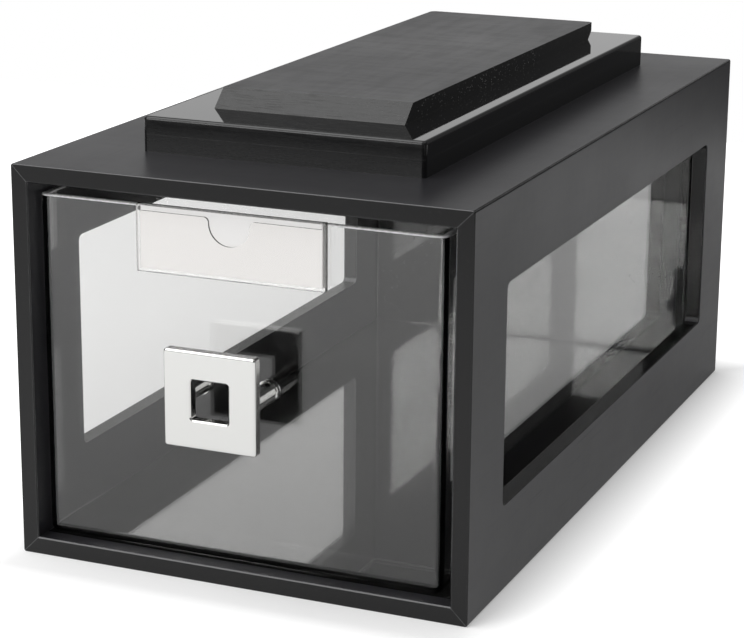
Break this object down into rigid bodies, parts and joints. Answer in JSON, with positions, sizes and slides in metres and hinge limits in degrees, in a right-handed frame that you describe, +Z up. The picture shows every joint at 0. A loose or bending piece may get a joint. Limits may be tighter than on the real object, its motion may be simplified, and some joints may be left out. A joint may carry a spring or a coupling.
{
  "type": "countertop bread display bin",
  "caption": "Black acrylic countertop case with side windows, a stepped top and a clear sliding bin for bread, opened by a square ring pull below a label holder.",
  "frame": {"origin": "middle of the overall box at the surface that the case stands on; the pull's reach in front of the case is counted, so the case itself lies 7.75 mm behind the origin", "axes": "+Z up; +Y from the open front to the back; +X to the right as seen from the front"},
  "size_m": [0.216, 0.4174, 0.2049],
  "materials": {
    "black_acrylic": "black acrylic sheet, satin outside, polished inside",
    "gloss_black_acrylic": "polished black acrylic sheet",
    "matte_black_acrylic": "matte black acrylic sheet",
    "clear_acrylic": "clear polished acrylic",
    "clear_label_plastic": "clear moulded plastic",
    "chrome": "polished chrome plate",
    "steel": "bright zinc-plated steel",
    "card": "blank white card",
    "foam_tape": "white foam tape"
  },
  "bodies": {
    "case": {"case_top_panel": "black_acrylic", "case_bottom_panel": "black_acrylic", "case_left_panel": "black_acrylic", "case_right_panel": "black_acrylic", "case_back_panel": "black_acrylic", "plinth_lower_sheet": "gloss_black_acrylic", "plinth_upper_sheet": "gloss_black_acrylic", "cap_sheet": "matte_black_acrylic"},
    "drawer": {"drawer_bin": "clear_acrylic", "ring_pull": "chrome", "pull_screw_left": "steel", "pull_screw_right": "steel", "pull_washer_left": "steel", "pull_washer_right": "steel", "label_holder": "clear_label_plastic", "label_card": "card", "label_tape": "foam_tape"}
  },
  "joints": [
    {"name": "drawer_slide", "type": "slide", "parent": "case", "child": "drawer", "axis": [0, -1, 0], "range_m": [0, 0.34]}
  ]
}
